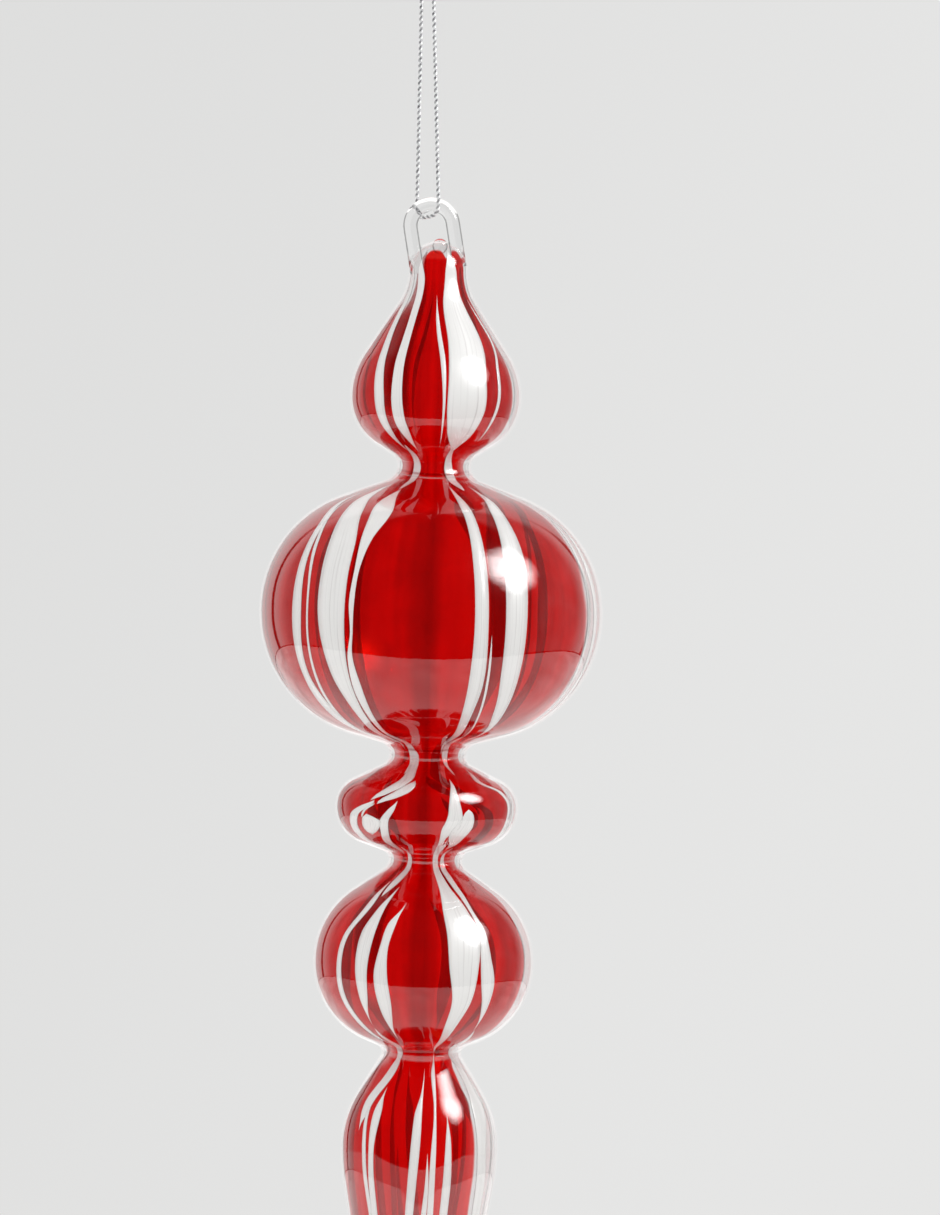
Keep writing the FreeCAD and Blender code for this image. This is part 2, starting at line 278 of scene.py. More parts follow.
def new_material(name: str) -> tuple[Material, Recipe]:
    """Makes an empty node material.

    Args:
        name: name of the finish.

    Returns:
        The material and its recipe.
    """
    material = bpy.data.materials.new(name)
    material.use_nodes = True
    return material, Recipe(material.node_tree)


@dataclass(frozen=True)
class ClearCasing:
    """Outer skin of clear glass: lets everything through, and mirrors more towards its rim.

    The pale rings at the necks are painted highlights and the dark rings painted shade, for the glints and
    shadows at the glass's folds: each pale ring has its height, half width and strength, each dark one its
    height and half width. Below a set height the spire is veiled a little by a painted reflection of the floor
    that it mirrors, a pale diffuse veil.
    """

    name: str = "clear_casing"
    straight_on: float = 0.046
    at_rim: float = 0.95
    clear: Colour = (0.985, 0.985, 0.985)
    edge_shade: Colour = (0.86, 0.84, 0.84)
    # The pale colour is painted light: the floor reflection and the neck glints. The next one is painted shade for the
    # dark neck rings.
    pale: Colour = (0.86, 0.84, 0.83)
    painted_shade_ring: Colour = (0.50, 0.16, 0.16)
    # Painted reflection of the floor on the lower spire: the height of its top and its share.
    floor_reflection_top: float = -272.4
    floor_reflection_share: float = 0.055
    neck: float = 7.5
    # Pale neck rings, painted highlights: height, half width and strength of each.
    glint_rings: tuple[tuple[float, float, float], ...] = (
        (-134.6, 0.16, 0.20),
        (-192.2, 0.26, 0.24),
        (-211.4, 0.12, 0.16),
        (-213.2, 0.24, 0.22),
        (-253.2, 0.52, 0.20),
    )
    # Dark neck rings, painted shade: height and half width of each.
    shade_rings: tuple[tuple[float, float], ...] = ((-133.9, 0.22), (-190.3, 0.20), (-251.9, 0.30))

    def make(self) -> Material:
        """Builds the material.

        Returns:
            The finish of the casing.
        """
        material, recipe = new_material(self.name)
        facing = recipe.facing()
        mirror = self.straight_on + (self.at_rim - self.straight_on) * facing**3.6
        x, y, z = recipe.axes(recipe.place())
        aside, height = x / MM - GLASS_AXIS, z / MM
        across, narrow = aside / 16.0, (aside / self.neck) ** 2.0
        arch = (1 - across * across * 3.0).most(0.0)
        # Painted reflection of the floor: a pale diffuse veil on the spire below a set height.
        painted_floor_reflection = (self.floor_reflection_top - arch * 3.0 - height).step(-0.15, 0.15)
        level = height - narrow.least(1.0) * 0.9
        front = (-y).step(-0.001, 0.001) * 0.75 + 0.25
        # Painted highlights: pale rings at the necks, weaker at the back.
        rings = [level.near(glint_height, half * 0.6, half * 1.4) * front * strength for glint_height, half, strength in self.glint_rings]
        # Painted shade: dark rings at the necks, fading towards the sides.
        fade = (1 - narrow.least(1.0)) * front * 0.7
        shade_bands = [level.near(painted_shade_ring, half * 0.5, half * 1.5) * fade for painted_shade_ring, half in self.shade_rings]
        edge = facing.step(0.72, 0.97)
        body = recipe.blend(edge, recipe.see_through(self.clear), recipe.see_through(self.edge_shade))
        body = recipe.blend(largest(shade_bands), body, recipe.see_through(self.painted_shade_ring))
        # Pale diffuse colour mixed in: the painted floor reflection and the painted neck highlights.
        painted_light = recipe.node("BsdfDiffuse", Color=self.pale)
        body = recipe.blend(largest([painted_floor_reflection * self.floor_reflection_share, *rings]), body, painted_light)
        gloss = recipe.node("BsdfGlossy", Color=(1.0, 1.0, 1.0), Roughness=0.03)
        recipe.finish(recipe.blend(mirror, body, gloss))
        return material


@dataclass(frozen=True)
class RubyGlass:
    """Transparent red layer in uneven streaks, with clear glass at the crown and along two gores.

    Angles count from the front, positive to the right, in degrees. The warm spots are painted light, for the key
    light's caustics: each is given by its place across, its height, its half width and its half height. A warm
    blush right of the front is painted light, and a darker band down the front is a painted reflection.
    crown is the height where the red begins.
    """

    name: str = "ruby_glass"
    bright: Colour = (0.95, 0.020, 0.014)
    thin: Colour = (0.77, 0.006, 0.007)
    deep: Colour = (0.74, 0.004, 0.006)
    # Darker red of the painted reflection down the front.
    dark_reflection_red: Colour = (0.36, 0.002, 0.003)
    # Warmer tint of the painted light in the warm spots and the blush.
    painted_warm_light: Colour = (1.0, 0.12, 0.022)
    body: Colour = (0.42, 0.002, 0.003)
    clear: Colour = (0.97, 0.965, 0.965)
    crown: float = -88.0
    # Painted light standing in for caustics: place across, height, half width and half height of each warm spot.
    painted_glows: tuple[tuple[float, float, float, float], ...] = (
        (-8.0, -170.0, 4.4, 6.0),
        (18.8, -233.0, 3.0, 6.5),
        (20.5, -198.0, 4.0, 3.0),
        (8.0, -272.0, 3.5, 6.0),
    )
    waists: tuple[float, ...] = (-132.2, -191.4, -212.8, -252.3)
    spire_top: Point = (-256.0, -250.0)
    globe_top: Point = (-144.0, -140.0)

    def openings(self, across: Shading, towards: Shading, height: Shading, drift: Shading) -> Shading:
        """Where the red layer is left out and the glass is clear.

        Args:
            across: distance to the right of the glass axis.
            towards: distance to the front of it.
            height: in mm.
            drift: slow noise that makes the edges wander.

        Returns:
            The share of clear glass.
        """
        azimuth = across.degrees_from(towards)
        wavy = azimuth + (drift - 0.5) * 9.0
        low = 1 - height.step(*self.spire_top)
        gore = (wavy + low * 20.0).step(65.0, 68.0) * (1 - (wavy - low * 22.0).step(112.0, 116.0))
        left = wavy.between((-150.0, -140.0), (-34.0, -30.0)) * height.step(-104.0, -98.0)
        sideways = (across * across / (across * across + towards * towards)).step(0.35, 0.9) * 0.6
        necks = [height.near(waist, 1.5, 4.5) * sideways for waist in self.waists]
        middle, right = (azimuth + 9.0) / 26.0, (azimuth - 52.0) / 20.0
        dip = (middle**4.0).least(right**4.0).least(1.0) * 1.6
        crown = (height + dip + (drift - 0.5) * 0.8).step(self.crown - 0.3, self.crown + 0.3)
        return largest([gore, left, crown, *necks])

    def make(self) -> Material:
        """Builds the material.

        Returns:
            The finish of the red layer.
        """
        material, recipe = new_material(self.name)
        place = recipe.place()
        x, y, z = recipe.axes(place)
        across, towards, height = x - GLASS_AXIS * MM, -y, z / MM
        azimuth = across.degrees_from(towards)
        along = recipe.node("CombineXYZ", X=azimuth * 0.11, Y=height * 0.016, Z=0.0)
        streak, blot = recipe.noise(along, 1.0, 2.5), recipe.noise(place, 110.0, 2.0)
        spire, bulbs = 1 - height.step(*self.spire_top), 1 - height.step(*self.globe_top)
        thinner = (streak * 0.65 + blot * 0.35).step(0.36, 0.60) * (1 - spire * 0.6)
        # Painted light: warm spots where the key light's caustics would fall.
        glow_spots = []
        for right, level, wide, tall in self.painted_glows:
            aside, above = (x / MM - right) / wide, (height - level) / tall
            glow_spots.append(1 - (aside * aside + above * above).step(0.0, 1.0))
        # Painted light: a warm blush right of the front of each bulb.
        painted_blush = azimuth.between((4.0, 20.0), (24.0, 40.0)) * bulbs * (0.2 + blot * 0.7)
        front = towards.step(0.0, 0.004)
        glow = (largest(glow_spots) * (0.2 + blot * 1.2)).most(painted_blush) * front
        # Painted reflection: a darker band down the front of the bulbs.
        painted_dark_band = azimuth.near(-2.5, 2.0, 7.5) * (1 - spire) * bulbs * front * 0.62
        rim = recipe.facing().step(0.3, 0.95)
        glass = recipe.see_through(self.bright)
        for share, colour in ((thinner, self.thin), (rim, self.deep), (glow, self.painted_warm_light), (painted_dark_band, self.dark_reflection_red)):
            glass = recipe.blend(share, glass, recipe.see_through(colour))
        solid = recipe.node("BsdfPrincipled", Base_Color=self.body, Roughness=0.25)
        red = recipe.blend(0.08, glass, solid)
        clear = self.openings(across, towards, height, recipe.noise(place, 60.0, 1.0))
        recipe.finish(recipe.blend(clear, red, recipe.see_through(self.clear)))
        return material


@dataclass(frozen=True)
class WhiteCane:
    """White glass cane, thinner along its edges and in fine streaks.

    feather is the share of the width over which an edge fades.
    """

    name: str
    feather: float
    white: Colour = (0.85, 0.845, 0.83)
    streaked: Colour = (0.76, 0.73, 0.72)

    def make(self) -> Material:
        """Builds the material.

        Returns:
            The finish of the cane.
        """
        material, recipe = new_material(self.name)
        uv = recipe.node("UVMap", {"uv_map": "UVMap"}).outputs[0]
        across = recipe.axes(uv)[0]
        stretch = recipe.node("Mapping", {"vector_type": "POINT"}, Vector=uv, Scale=(7.0, 0.7, 1.0))
        streak = recipe.noise(stretch, 1.6, 3.0)
        opaque = across.least(1 - across).step(0.0, self.feather) * (1 - streak.step(0.52, 0.75) * 0.18)
        colour = recipe.tint(streak.step(0.55, 0.75), self.white, self.streaked)
        solid = recipe.node("BsdfPrincipled", Base_Color=colour, Roughness=0.35)
        recipe.finish(recipe.blend(opaque, recipe.see_through((1.0, 1.0, 1.0)), solid))
        return material


@dataclass(frozen=True)
class ClearRod:
    """Solid clear glass of the eye, which bends what is seen through it and lets lamps through."""

    name: str = "clear_rod"
    tint: Colour = (0.985, 0.985, 0.985)
    shadow: Colour = (0.93, 0.93, 0.93)

    def make(self) -> Material:
        """Builds the material.

        Returns:
            The finish of the rod.
        """
        material, recipe = new_material(self.name)
        glass = recipe.node(
            "BsdfPrincipled", Base_Color=self.tint, Roughness=0.0, IOR=1.48, Transmission_Weight=1.0
        )
        lamp = recipe.number(recipe.node("LightPath"), "Is Shadow Ray")
        recipe.finish(recipe.blend(lamp, glass, recipe.see_through(self.shadow)))
        return material


@dataclass(frozen=True)
class SilverThread:
    """Metallic thread of the cord, brighter and darker from fibre to fibre."""

    name: str
    dark: Colour
    light: Colour
    metal: float

    def make(self) -> Material:
        """Builds the material.

        Returns:
            The finish of one ply.
        """
        material, recipe = new_material(self.name)
        fibre = recipe.noise(recipe.place(), 2600.0, 2.0)
        colour = recipe.tint(fibre.step(0.35, 0.65), self.dark, self.light)
        lift = recipe.node("Bump", Height=fibre, Strength=0.35, Distance=0.00005)
        thread = recipe.node(
            "BsdfPrincipled", Base_Color=colour, Metallic=self.metal, Roughness=0.20 + fibre * 0.2, Normal=lift
        )
        recipe.finish(thread)
        return material


@dataclass(frozen=True)
class Swelling:
    """One blown swelling: its widest radius, and the heights and side curves above and below, in mm."""

    radius: float
    above: float
    above_arc: float
    below: float
    below_arc: float


@dataclass(frozen=True)
class Neck:
    """One neck: its radius and its flares above and below, in mm."""

    radius: float
    above: float
    below: float


def circle_points(centre: Point, radius: float, first: float, last: float, count: int) -> list[Point]:
    """Points along an arc.

    Args:
        centre: radius and height of its centre.
        radius: of the arc.
        first: starting angle.
        last: final angle.
        count: number of steps.

    Returns:
        Radius and height of each point.
    """
    angles = [first + (last - first) * step / count for step in range(count + 1)]
    return [(centre[0] + radius * math.cos(a), centre[1] + radius * math.sin(a)) for a in angles]


@dataclass
class GlassOutline:
    """Outline of the blown glass, worked out from its swellings and necks.

    neck_gap is how much thicker the clear glass is at each neck, neck_reach how far that reaches.
    """

    crown_height: float = -92.11
    tip: float = 2.2
    neck_gap: float = 0.6
    neck_reach: float = 3.2
    swellings: tuple[Swelling, ...] = (
        Swelling(17.5, 26.0, 16.3, 14.1, 11.7),
        Swelling(35.1, 29.9, 25.3, 29.3, 26.2),
        Swelling(18.7, 10.6, 6.4, 10.8, 8.0),
        Swelling(22.5, 20.9, 18.0, 18.6, 17.5),
        Swelling(16.0, 19.2, 21.0, 85.0, 46.0),
    )
    necks: tuple[Neck, ...] = (
        Neck(6.0, 0.0, 12.0),
        Neck(7.5, 2.6, 3.1),
        Neck(7.8, 2.5, 2.1),
        Neck(7.5, 1.8, 2.3),
        Neck(8.1, 1.5, 1.2),
    )

    def flank(self, widest: Point, arc: float, narrow: Point, flare: float) -> list[Point]:
        """Points from the widest place to the neck: arc, straight flank and flare.

        Args:
            widest: radius and height of the widest place.
            arc: radius of the side curve.
            narrow: radius and height of the neck.
            flare: radius of the neck's flare.

        Returns:
            Radius and height of each point.
        """
        swell = (widest[0] - arc, widest[1])
        hollow = (narrow[0] + flare, narrow[1])
        reach = Vector((hollow[0] - swell[0], hollow[1] - swell[1]))
        middle = math.atan2(reach.y, reach.x)
        opening = math.acos((arc + flare) / reach.length)
        turn = max((middle + opening, middle - opening), key=math.cos)
        side = circle_points(swell, arc, 0.0, turn, 22)
        back = turn - math.pi if turn > 0 else turn + math.pi
        straight = math.pi if back > 0 else -math.pi
        return side + circle_points(hollow, flare, back, straight, 7)

    def points(self, inset: float = 0.0) -> list[Point]:
        """The whole outline from the crown's top to the tip.

        Args:
            inset: how far it lies inside the outer skin, in mm.

        Returns:
            Radius and height of each point, in mm.
        """
        crown = self.necks[0].radius - inset
        line = circle_points((0.0, self.crown_height), crown, math.pi / 2, 0.0, 14)[:-1]
        height = self.crown_height
        waists = []
        for order, (swelling, neck) in enumerate(zip(self.swellings, self.necks)):
            widest = (swelling.radius - inset, height - swelling.above)
            narrow = (neck.radius - inset, height)
            upper = self.flank(widest, swelling.above_arc - inset, narrow, neck.below + inset)
            line += upper[::-1]
            height = widest[1] - swelling.below
            if order + 1 < len(self.necks):
                under = self.necks[order + 1]
                waists.append(height)
                narrow = (under.radius - inset, height)
                lower = self.flank(widest, swelling.below_arc - inset, narrow, under.above + inset)
                line += lower[1:-1]
        line += self.spire_end(widest, swelling.below_arc - inset, height, inset)
        if not inset:
            return line
        return [(radius - self.neck_gap * self.nearness(level, waists), level) for radius, level in line]

    def nearness(self, level: float, waists: list[float]) -> float:
        """How near a height is to a waist: 1 at a waist, falling to 0 away from it."""
        return sum(math.exp(-(((level - waist) / self.neck_reach) ** 2)) for waist in waists)

    def spire_end(self, widest: Point, arc: float, lowest: float, inset: float) -> list[Point]:
        """Points from the spire's widest place to the tip.

        Args:
            widest: radius and height of the widest place.
            arc: radius of the side curve.
            lowest: height of the outer tip.
            inset: how far the outline lies inside the outer skin.

        Returns:
            Radius and height of each point.
        """
        tip = self.tip - inset
        reach = Vector((arc - widest[0], lowest + self.tip - widest[1]))
        turn = math.atan2(reach.y, reach.x) + math.acos((arc - tip) / reach.length)
        side = circle_points((widest[0] - arc, widest[1]), arc, 0.0, turn, 10)[1:]
        nose = circle_points((0.0, lowest + self.tip), tip, turn, -math.pi / 2, 8)
        rings = 12
        start, end = Vector(side[-1]), Vector(nose[0])
        taper = [tuple(start.lerp(end, ring / rings)) for ring in range(1, rings)]
        return side + taper + nose

    def radius_at(self, height: float, line: list[Point]) -> float:
        """Radius of an outline at one height.

        Args:
            height: in mm.
            line: points of the outline, from the top down.

        Returns:
            The radius in mm.
        """
        for upper, lower in zip(line, line[1:]):
            if lower[1] <= height <= upper[1] and upper[1] > lower[1]:
                share = (upper[1] - height) / (upper[1] - lower[1])
                return upper[0] + (lower[0] - upper[0]) * share
        return line[-1][0]


def new_object(name: str, mesh: BMesh, materials: list[Material]) -> Object:
    """Turns a bmesh into an object of the scene, and frees it.

    Args:
        name: of the object.
        mesh: its shape, in metres.
        materials: in the order of its material numbers.

    Returns:
        The new object.
    """
    data = bpy.data.meshes.new(name)
    mesh.to_mesh(data)
    mesh.free()
    for material in materials:
        data.materials.append(material)
    made = bpy.data.objects.new(name, data)
    bpy.context.collection.objects.link(made)
    return made


def add_to(whole: BMesh, part: BMesh) -> None:
    """Adds one bmesh to another, and frees it.

    Args:
        whole: shape that grows.
        part: shape that is added.
    """
    scratch = bpy.data.meshes.new("scratch")
    part.to_mesh(scratch)
    part.free()
    whole.from_mesh(scratch)
    bpy.data.meshes.remove(scratch)


def finish_piece(name: str, mesh: BMesh, materials: list[Material]) -> Object:
    """Turns a bmesh into a smooth piece that rides with the ornament.

    Args:
        name: of the piece.
        mesh: its shape, in metres.
        materials: in the order of its material numbers.

    Returns:
        The new object.
    """
    piece = new_object(name, mesh, materials)
    faces = piece.data.polygons
    faces.foreach_set("use_smooth", [True] * len(faces))
    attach(piece, "root")
    LOG.info("%s: %d faces", name, len(faces))
    return piece


def turned(line: list[Point], gores: int) -> BMesh:
    """Turns an outline about the upright glass axis.

    Args:
        line: radius and height of its points, in mm, both ends on the axis.
        gores: number of flat strips round it.

    Returns:
        The closed shape, in metres.
    """
    mesh = bmesh.new()
    verts = [mesh.verts.new(((GLASS_AXIS + radius) * MM, 0.0, height * MM)) for radius, height in line]
    edges = [mesh.edges.new(pair) for pair in zip(verts, verts[1:])]
    centre = (GLASS_AXIS * MM, 0, 0)
    bmesh.ops.spin(
        mesh, geom=verts + edges, cent=centre, axis=(0, 0, 1), angle=2 * math.pi, steps=gores, use_merge=True
    )
    bmesh.ops.remove_doubles(mesh, verts=mesh.verts, dist=1e-6)
    bmesh.ops.recalc_face_normals(mesh, faces=mesh.faces)
    return mesh


@dataclass(frozen=True)
class Cane:
    """One cane in the glass: rows of height in mm and of its left and right edge in degrees.

    Angles count from the front, positive to the right.
    """

    name: str
    rows: tuple[tuple[float, float, float], ...]
    taper: float = 5.0

    def edges_at(self, height: float) -> Point:
        """Left and right edge at one height, on a smooth curve through the rows.

        Args:
            height: in mm.

        Returns:
            Both angles in degrees.
        """
        rows = self.rows
        last = len(rows) - 2
        spot = next((k for k in range(last + 1) if rows[k + 1][0] <= height), last)
        share = (rows[spot][0] - height) / (rows[spot][0] - rows[spot + 1][0])
        found = []
        for side in (1, 2):
            here, there = rows[spot][side], rows[spot + 1][side]
            before = rows[max(spot - 1, 0)][side]
            after = rows[min(spot + 2, last + 1)][side]
            rise, fall = (there - before) / 2, (after - here) / 2
            cube, square = share**3, share**2
            value = here * (2 * cube - 3 * square + 1) + there * (3 * square - 2 * cube)
            found.append(value + rise * (cube - 2 * square + share) + fall * (cube - square))
        end = min(rows[0][0] - height, height - rows[-1][0]) / self.taper
        fullness = math.sin(min(max(end, 0.0), 1.0) * math.pi / 2)
        middle, half = (found[0] + found[1]) / 2, max(found[1] - found[0], 0.2) / 2 * fullness
        return middle - half, middle + half


# Canes of each swelling as seen from the front.
ONION_CANES = (
    Cane("onion_outer", ((-90, -66, -58), (-96, -66, -56), (-103, -60, -51), (-110, -51, -43), (-117, -47, -38),
         (-123, -45, -37), (-129, -39, -33))),
    Cane("onion_inner", ((-90, -52, -28), (-96, -42, -27), (-103, -35, -26), (-113, -32, -24), (-123, -31, -22),
         (-129, -25, -17))),
    Cane("onion_fine", ((-97, -2, -1), (-103, -1, 3), (-110, 3, 7), (-118, 5, 7), (-128, 5, 6))),
    Cane("onion_broad", ((-88, 12, 37), (-93, 14, 41), (-99, 8, 43), (-106, 10, 46), (-113, 9, 39), (-121, 8, 37),
         (-127, 11, 31), (-130, 18, 26))),
    Cane("onion_thread", ((-98, 55, 58), (-106, 60, 63), (-112, 50, 53), (-119, 47, 50), (-127, 42, 44))),
)
GLOBE_CANES = (
    Cane("globe_rim", ((-138, -68, -61), (-144, -58, -54), (-152, -55, -51), (-162, -54, -49), (-175, -55, -51),
         (-183, -56, -49), (-189, -54, -48))),
    Cane("globe_thread", ((-139, -59, -58), (-147, -52, -50), (-157, -47, -46), (-168, -47, -46), (-185, -50, -48))),
    Cane("globe_broad", ((-136, -58, -46), (-141, -49, -37), (-147, -44, -31), (-154, -42, -30), (-164, -41, -30),
         (-175, -39, -31), (-184, -37, -32), (-190, -44, -36))),
    Cane("globe_sweep", ((-137, -38, -20), (-142, -31, -20), (-147, -29, -24), (-153, -28, -26), (-160, -28.5, -26.5),
         (-166, -28, -27), (-171, -30, -28), (-178, -31, -27), (-185, -31, -28), (-190, -35, -31))),
    Cane("globe_right", ((-136, 13, 19), (-142, 15, 20), (-153, 15, 20), (-165, 15, 20), (-176, 15, 21),
         (-184, 16, 21), (-191, 20, 26))),
    Cane("globe_fine", ((-166, 21, 21.6), (-176, 22, 23), (-183, 24, 25), (-189, 28, 29))),
    Cane("globe_far", ((-136, 36, 42), (-141, 30, 37), (-150, 27, 36), (-162, 26, 34.5), (-174, 27, 35),
         (-182, 31, 37), (-188, 38, 41))),
    Cane("globe_edge", ((-140, 70, 71), (-150, 68, 70), (-162, 67, 69), (-176, 68, 70), (-185, 70, 72))),
    Cane("globe_outer", ((-142, 76, 78), (-152, 73, 77), (-162, 73, 77), (-176, 75, 79), (-184, 76, 78))),
)
DISC_CANES = (
    Cane("disc_swoosh", ((-190, -29, -16), (-194, -24, -13), (-196, -23, -12), (-197.9, -30, -20), (-199.5, -37, -30),
         (-200.4, -41, -37)), 1.5),
    Cane("disc_leaf", ((-196.2, -12, -7), (-197.2, -17, -8), (-198.7, -23.5, -12.5), (-200, -31, -22),
         (-201.1, -36, -31)), 1.2),
    Cane("disc_rim", ((-200.3, -38, -34), (-201.2, -45, -36), (-203, -57, -48), (-205.7, -62, -53), (-208.4, -63, -53),
         (-211, -66, -57)), 1.5),
    Cane("disc_loop", ((-200.9, -36, -34), (-202.4, -44, -42), (-204, -47.5, -45.5)), 0.8),
    Cane("disc_patch", ((-203.2, -45, -39), (-204.6, -47, -31), (-205.9, -48, -33), (-207.5, -46, -39)), 0.8),
    Cane("disc_inner", ((-200.3, -20, -18), (-202.4, -26, -21), (-204.3, -31.5, -25), (-206.8, -33.5, -27),
         (-209.5, -38, -30), (-211.5, -41, -34)), 2.0),
    Cane("disc_right", ((-195.8, 19, 20.5), (-198.5, 16, 21), (-201, 14.5, 22.5), (-203, 14, 24), (-204.6, 12.5, 24),
         (-206, 10.5, 22), (-207.8, 10.5, 15.5), (-209.2, 11, 15.5), (-211.5, 13, 18)), 1.5),
    Cane("disc_branch", ((-201.8, 26, 30), (-203, 24.5, 32), (-204.5, 22, 33), (-206, 18, 32.5), (-207.8, 17, 29.5),
         (-209.2, 21, 28), (-210.4, 24, 26)), 0.8),
    Cane("disc_edge", ((-194, 52, 60), (-196.5, 44, 49), (-198.1, 57, 62), (-200.5, 64, 67), (-205, 64, 67),
         (-210, 66, 69)), 2.0),
    Cane("disc_outer", ((-198, 74, 77), (-202, 72, 75), (-206, 73, 76), (-209, 76, 78)), 2.0),
)
BALL_CANES = (
    Cane("ball_rim", ((-217, -42, -36), (-222, -42, -37), (-228, -50, -46), (-234, -52.5, -48.5), (-241, -53, -48.5),
         (-247, -49, -44), (-251, -45, -40))),
    Cane("ball_broad", ((-218, -26, -22), (-222, -31, -26), (-227, -37, -28), (-234, -38.5, -30.5), (-240, -38, -32),
         (-246, -37, -36))),
    Cane("ball_inner", ((-221, -13, -12), (-225, -21, -16), (-230, -24, -19), (-236, -27, -19), (-242, -26, -18),
         (-249, -23, -21))),
    Cane("ball_lens", ((-209, 13, 22), (-214, 13, 23), (-218, 13, 24), (-222, 12, 29), (-227, 13, 33), (-234, 14, 31),
         (-241, 17, 29), (-247, 16, 24), (-252, 19, 23)), 2.0),
    Cane("ball_lobe", ((-210, 27, 36), (-214, 26, 36), (-218, 27, 33), (-222, 30, 33), (-226, 33, 37),
         (-232, 32, 39), (-237, 33, 42), (-242, 37, 42), (-247, 41, 42))),
)
SPIRE_CANES = (
    Cane("spire_shoulder", ((-251, -42, -30), (-256, -46, -33), (-261, -55, -43), (-265, -56, -48), (-268, -54, -53))),
    Cane("spire_outer", ((-258, -43, -42), (-263, -49, -46), (-270, -48, -44), (-278, -47, -43), (-290, -44, -40),
         (-310, -44, -38), (-338, -42, -38))),
    Cane("spire_left", ((-259, -37, -35), (-264, -41, -33), (-272, -41, -36), (-280, -42, -36), (-292, -42, -34),
         (-312, -36, -30), (-330, -34, -32))),
    Cane("spire_centre", ((-255, 4.5, 5.5), (-260, 1, 3), (-264, -4, 2), (-270, -6, 1), (-277, -8, -1),
         (-286, -11, -4), (-300, -14, -7), (-322, -13, -11))),
    Cane("spire_fine", ((-272, 6, 7), (-279, 5, 8), (-287, 2, 7), (-298, 0, 5), (-316, 1, 3))),
    Cane("spire_long", ((-252, 20, 23), (-256, 13, 18), (-263, 12, 14), (-272, 9, 13), (-281, 8, 13),
         (-296, 8, 14), (-318, 10, 17), (-345, 12, 20))),
    Cane("spire_right", ((-264, 22, 23.5), (-271, 20, 25), (-279, 19, 26), (-290, 18, 25), (-308, 20, 25),
         (-326, 22, 23))),
    Cane("spire_far", ((-252, 52, 64), (-257, 56, 74), (-263, 50, 70), (-270, 49, 61), (-280, 51, 64),
         (-295, 52, 66), (-318, 50, 60), (-340, 49, 52))),
    Cane("spire_edge", ((-262, 78, 80), (-272, 72, 74), (-290, 72, 74), (-320, 74, 75))),
)
NECK_CANES = (
    Cane("upper_neck_left", ((-128, -40, -25), (-132, -39, -24), (-137, -40, -22))),
    Cane("upper_neck_right", ((-128, 14, 27), (-132, 18, 34), (-137, 15, 40))),
    Cane("middle_neck_left", ((-186, -34, -28), (-191, -33, -20), (-195, -30, -18))),
    Cane("middle_neck_right", ((-187, 20, 34), (-191, 24, 36), (-195, 25, 33))),
    Cane("lower_neck_left", ((-210, -34, -22), (-214, -34, -24), (-220, -40, -28))),
    Cane("drop_neck_left", ((-247, -40, -34), (-252, -42, -31), (-256, -44, -33))),
    Cane("drop_neck_right", ((-247, 40, 46), (-252, 50, 62), (-256, 55, 70))),
)


class CaneSide(Enum):
    """Which side of the glass a set of canes lies on."""

    FRONT = 0
    BACK = 1


